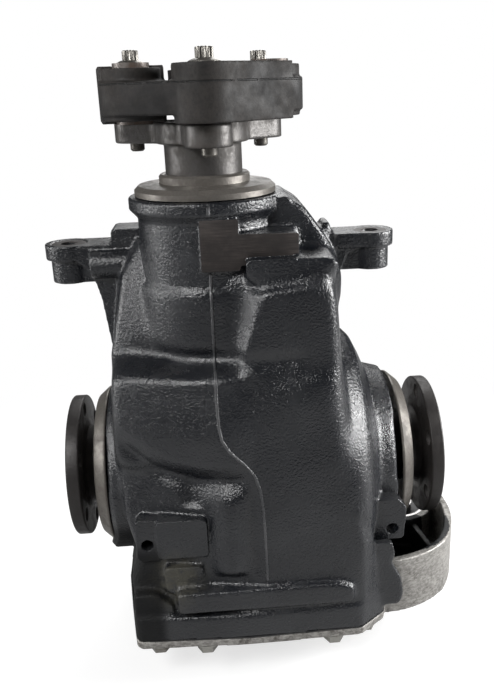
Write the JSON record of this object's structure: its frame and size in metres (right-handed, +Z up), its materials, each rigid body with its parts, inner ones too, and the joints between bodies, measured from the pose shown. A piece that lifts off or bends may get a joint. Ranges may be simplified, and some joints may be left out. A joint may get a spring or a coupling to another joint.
{
  "type": "rear differential",
  "caption": "rear final drive unit: housing with hypoid gear pair, bevel differential, flexible input coupling, output flanges and rear cover with mounting lobe",
  "frame": {"origin": "on the pinion axis, at the plateau of the rear cover that the unit stands on", "axes": "+Z up along the pinion axis to the input coupling, X along the output axis with +X to the right output, -Y towards the viewer of the picture"},
  "size_m": [0.3118, 0.225, 0.4533],
  "materials": {
    "cast_housing": "black paint, satin, over a rough casting",
    "cast_cover": "rough die casting",
    "gasket": "pressed fibre",
    "zinc_bolts": "zinc plated",
    "copper": "soft metal washer",
    "black_plastic": "moulded",
    "seal_rubber": "oiled rubber",
    "steel": "turned steel",
    "spring_steel": "blued spring steel",
    "bearing_steel": "ground",
    "bush_rubber": "matt rubber",
    "gear_steel": "ground and oiled",
    "rough_steel": "forged, lightly rusted",
    "cap_steel": "pressed sheet, dulled",
    "disc_rubber": "reinforced rubber, dusty",
    "sleeve_steel": "steel, rusted",
    "bolt_steel": "plated, dirty",
    "washer_steel": "plated",
    "case_iron": "machined casting",
    "flange_steel": "turned, lightly rusted"
  },
  "bodies": {
    "carrier": {"breather": "black_plastic", "cover_bolts": "zinc_bolts", "cover_gasket": "gasket", "drain_plug": "zinc_bolts", "fill_plug": "zinc_bolts", "housing": "cast_housing", "left_bearing_circlip": "spring_steel", "left_case_bearing_cup": "bearing_steel", "left_output_seal": "seal_rubber", "left_preload_shim": "steel", "mount_bush_rubber": "bush_rubber", "mount_bush_shell": "steel", "mount_bush_sleeve": "steel", "pinion_front_bearing_cup": "bearing_steel", "pinion_head_bearing_cup": "bearing_steel", "pinion_oil_seal": "seal_rubber", "plug_washers": "copper", "rear_cover": "cast_cover", "right_bearing_circlip": "spring_steel", "right_case_bearing_cup": "bearing_steel", "right_output_seal": "seal_rubber", "right_preload_shim": "steel"},
    "case": {"differential_case": "case_iron", "ring_gear": "gear_steel", "ring_gear_bolts": "zinc_bolts", "cross_pin": "gear_steel", "cross_pin_lock": "spring_steel", "left_case_bearing_cone": "bearing_steel", "left_case_bearing_rollers": "bearing_steel", "right_case_bearing_cone": "bearing_steel", "right_case_bearing_rollers": "bearing_steel", "side_gear_washers": "copper", "spider_gear_washers": "copper"},
    "input": {"pinion_shaft": "gear_steel", "pinion_head_bearing_cone": "bearing_steel", "pinion_head_bearing_rollers": "bearing_steel", "pinion_front_bearing_cone": "bearing_steel", "pinion_front_bearing_rollers": "bearing_steel", "crush_sleeve": "steel", "input_flange": "rough_steel", "pinion_nut": "zinc_bolts", "dust_cap": "cap_steel", "flex_disc": "disc_rubber", "flex_disc_sleeves": "sleeve_steel", "coupling_bolts": "bolt_steel", "coupling_washers": "washer_steel"},
    "left_output": {"left_output_flange": "flange_steel", "left_side_gear": "gear_steel", "left_snap_ring": "spring_steel", "left_dust_shield": "cap_steel"},
    "right_output": {"right_output_flange": "flange_steel", "right_side_gear": "gear_steel", "right_snap_ring": "spring_steel", "right_dust_shield": "cap_steel"},
    "upper_spider": {"upper_spider_gear": "gear_steel"},
    "lower_spider": {"lower_spider_gear": "gear_steel"}
  },
  "joints": [
    {"name": "case_spin", "type": "hinge", "parent": "carrier", "child": "case", "pos_m": [0, 0.03, 0.14], "axis": [1, 0, 0], "continuous": true},
    {"name": "input_spin", "type": "hinge", "parent": "carrier", "child": "input", "pos_m": [0, 0, 0.14], "axis": [0, 0, 1], "continuous": true},
    {"name": "left_output_spin", "type": "hinge", "parent": "case", "child": "left_output", "pos_m": [0, 0.03, 0.14], "axis": [1, 0, 0], "continuous": true},
    {"name": "right_output_spin", "type": "hinge", "parent": "case", "child": "right_output", "pos_m": [0, 0.03, 0.14], "axis": [1, 0, 0], "continuous": true},
    {"name": "upper_spider_spin", "type": "hinge", "parent": "case", "child": "upper_spider", "pos_m": [0.002, 0.03, 0.14], "axis": [0, 0, 1], "continuous": true},
    {"name": "lower_spider_spin", "type": "hinge", "parent": "case", "child": "lower_spider", "pos_m": [0.002, 0.03, 0.14], "axis": [0, 0, -1], "continuous": true}
  ],
  "couplings": [
    {"joint": "input_spin", "follows": "case_spin", "ratio": -2.8462},
    {"joint": "right_output_spin", "follows": "left_output_spin", "ratio": -1},
    {"joint": "upper_spider_spin", "follows": "left_output_spin", "ratio": 1.6},
    {"joint": "lower_spider_spin", "follows": "left_output_spin", "ratio": 1.6}
  ]
}
